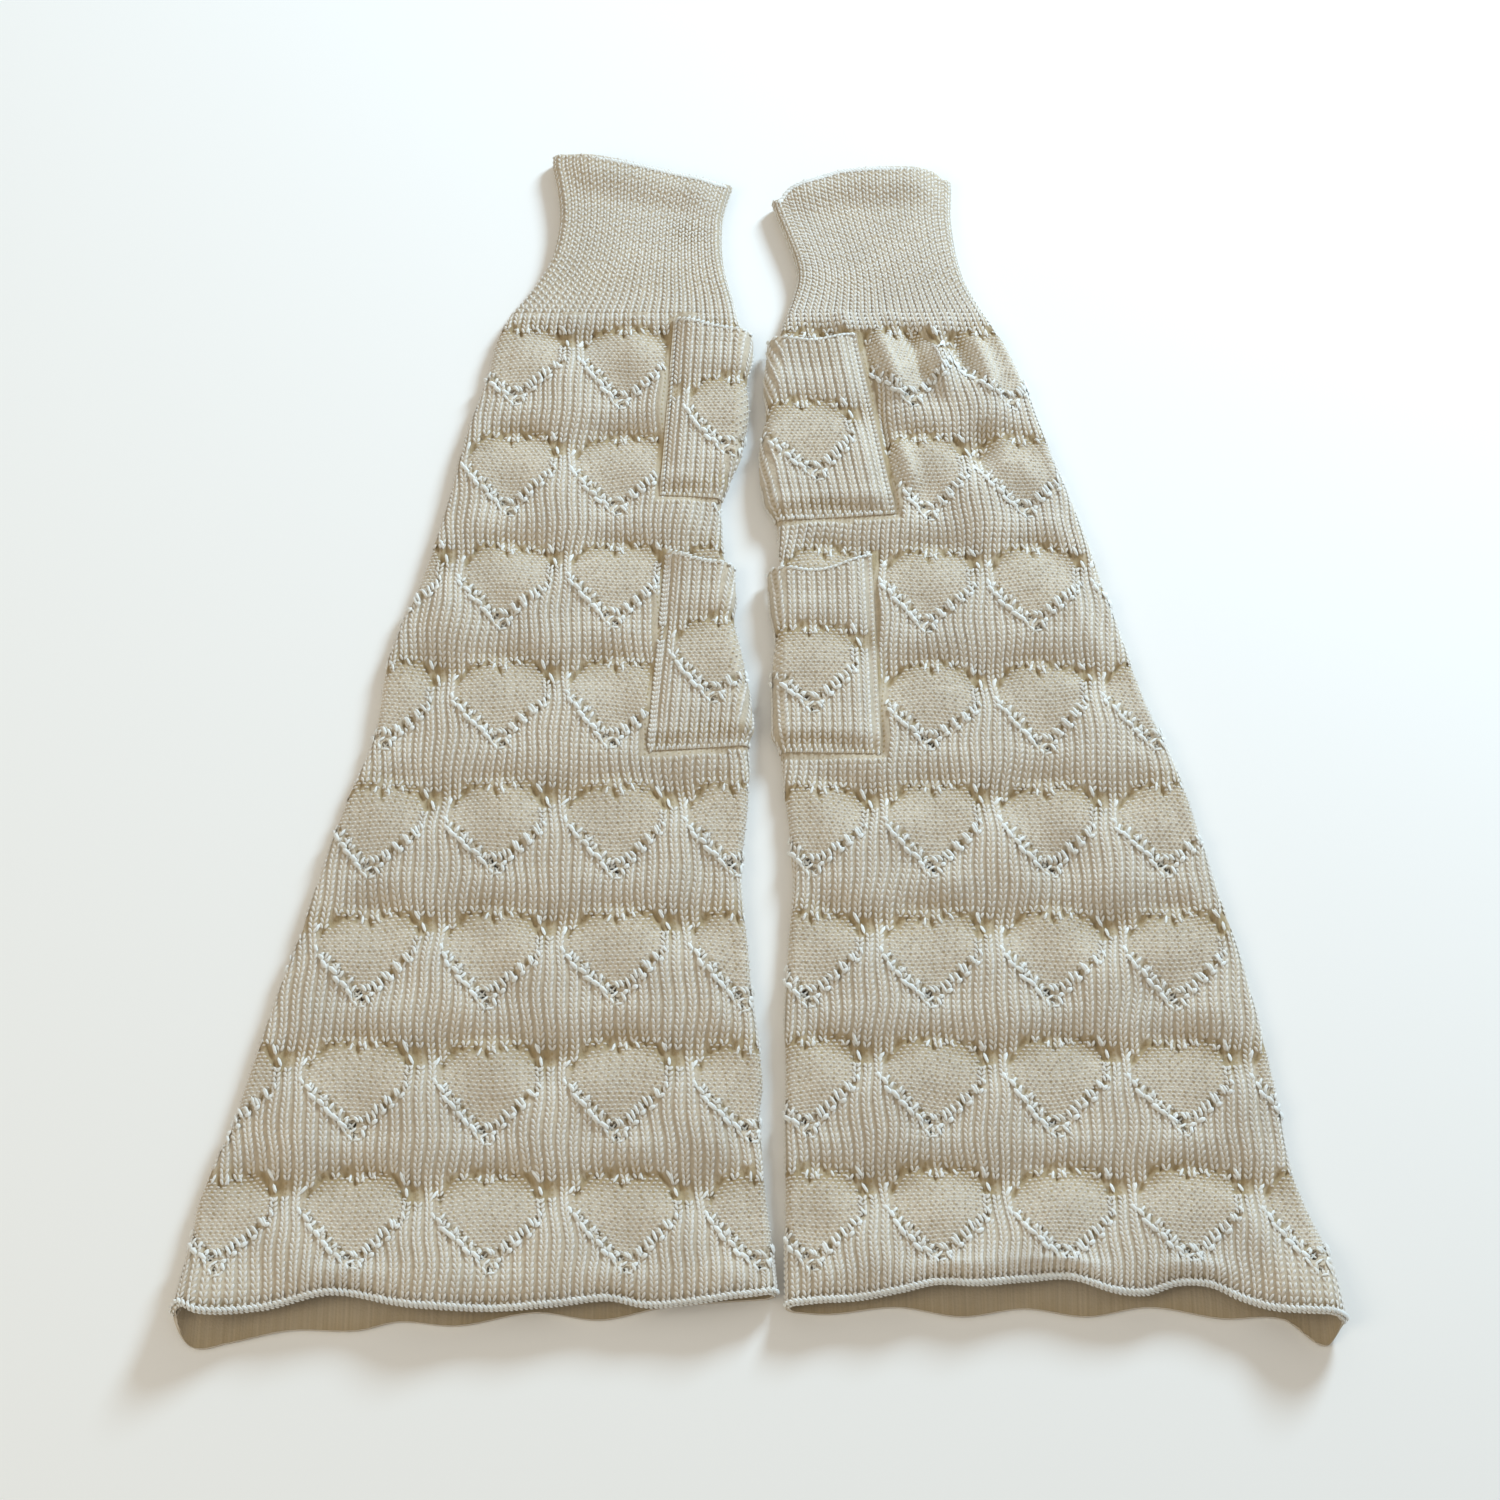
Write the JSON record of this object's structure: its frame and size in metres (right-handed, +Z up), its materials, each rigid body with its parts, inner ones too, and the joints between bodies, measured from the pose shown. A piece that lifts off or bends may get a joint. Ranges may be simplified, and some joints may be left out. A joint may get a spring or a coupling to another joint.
{
  "type": "pair of knitted leg warmers",
  "caption": "Pair of cream flared leg warmers in rib and openwork heart knit, with ribbed cuffs and patch pockets, laid flat.",
  "frame": {"origin": "middle of the pair on the surface that it lies on", "axes": "+X across the pair towards the right leg in plan, +Y from the hems to the cuffs, +Z up through the cloth"},
  "size_m": [0.4754, 0.5876, 0.0172],
  "materials": {
    "lace_knit": "matt cream yarn, openwork hearts on rib",
    "rib_knit": "matt cream yarn, fine rib",
    "pocket_knit": "matt cream yarn, openwork heart on rib"
  },
  "bodies": {
    "root": {"left_front_panel": "lace_knit", "left_back_panel": "lace_knit", "left_cuff": "rib_knit", "left_upper_pocket": "pocket_knit", "left_lower_pocket": "pocket_knit", "right_front_panel": "lace_knit", "right_back_panel": "lace_knit", "right_cuff": "rib_knit", "right_upper_pocket": "pocket_knit", "right_lower_pocket": "pocket_knit"}
  },
  "joints": []
}
